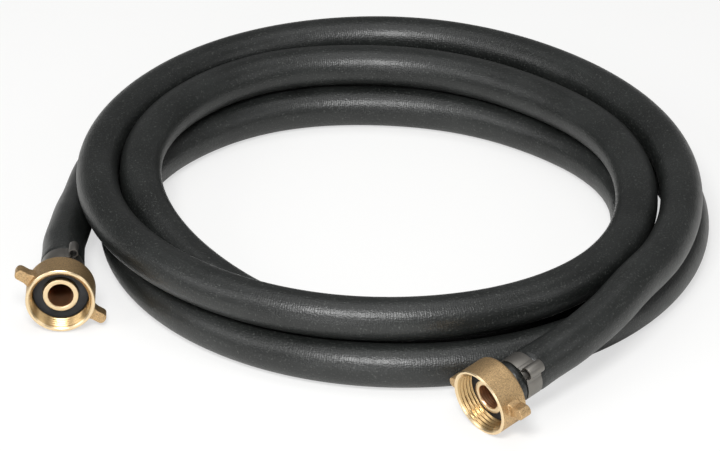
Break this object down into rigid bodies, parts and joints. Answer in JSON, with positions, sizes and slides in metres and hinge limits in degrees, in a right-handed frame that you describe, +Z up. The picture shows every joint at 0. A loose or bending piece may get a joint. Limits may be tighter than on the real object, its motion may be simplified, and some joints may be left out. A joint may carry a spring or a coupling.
{
  "type": "reinforced rubber hose",
  "caption": "Black reinforced rubber hose in a loose coil, with a winged brass union nut, sealed hose tail and steel ear clamp on each end.",
  "frame": {"origin": "middle of the footprint of the lying coil, on the floor", "axes": "+Z up from the floor; +Y away from the viewer of the picture, +X to the viewer's right; each nut's axis points out of its mouth, the left one towards -Y and the right one towards -X and -Y"},
  "size_m": [0.3094, 0.3242, 0.0388],
  "materials": {
    "hose_rubber": "satin, faint fabric impression",
    "seal_rubber": "matt",
    "cast_brass": "sand cast, rim and thread machined",
    "turned_brass": "turned bright",
    "clamp_steel": "satin"
  },
  "bodies": {
    "hose_and_tails": {"hose": "hose_rubber", "left_hose_tail": "turned_brass", "left_seal_washer": "seal_rubber", "left_ear_clamp": "clamp_steel", "right_hose_tail": "turned_brass", "right_seal_washer": "seal_rubber", "right_ear_clamp": "clamp_steel"},
    "left_nut": {"left_wing_nut": "cast_brass"},
    "right_nut": {"right_wing_nut": "cast_brass"}
  },
  "joints": [
    {"name": "left_nut_swivel", "type": "hinge", "parent": "hose_and_tails", "child": "left_nut", "pos_m": [-0.13468, -0.06851, 0.01595], "axis": [0.0349, -0.998, 0.0523], "continuous": true},
    {"name": "right_nut_swivel", "type": "hinge", "parent": "hose_and_tails", "child": "right_nut", "pos_m": [0.04592, -0.14771, 0.01515], "axis": [-0.7451, -0.6523, -0.1392], "continuous": true}
  ]
}
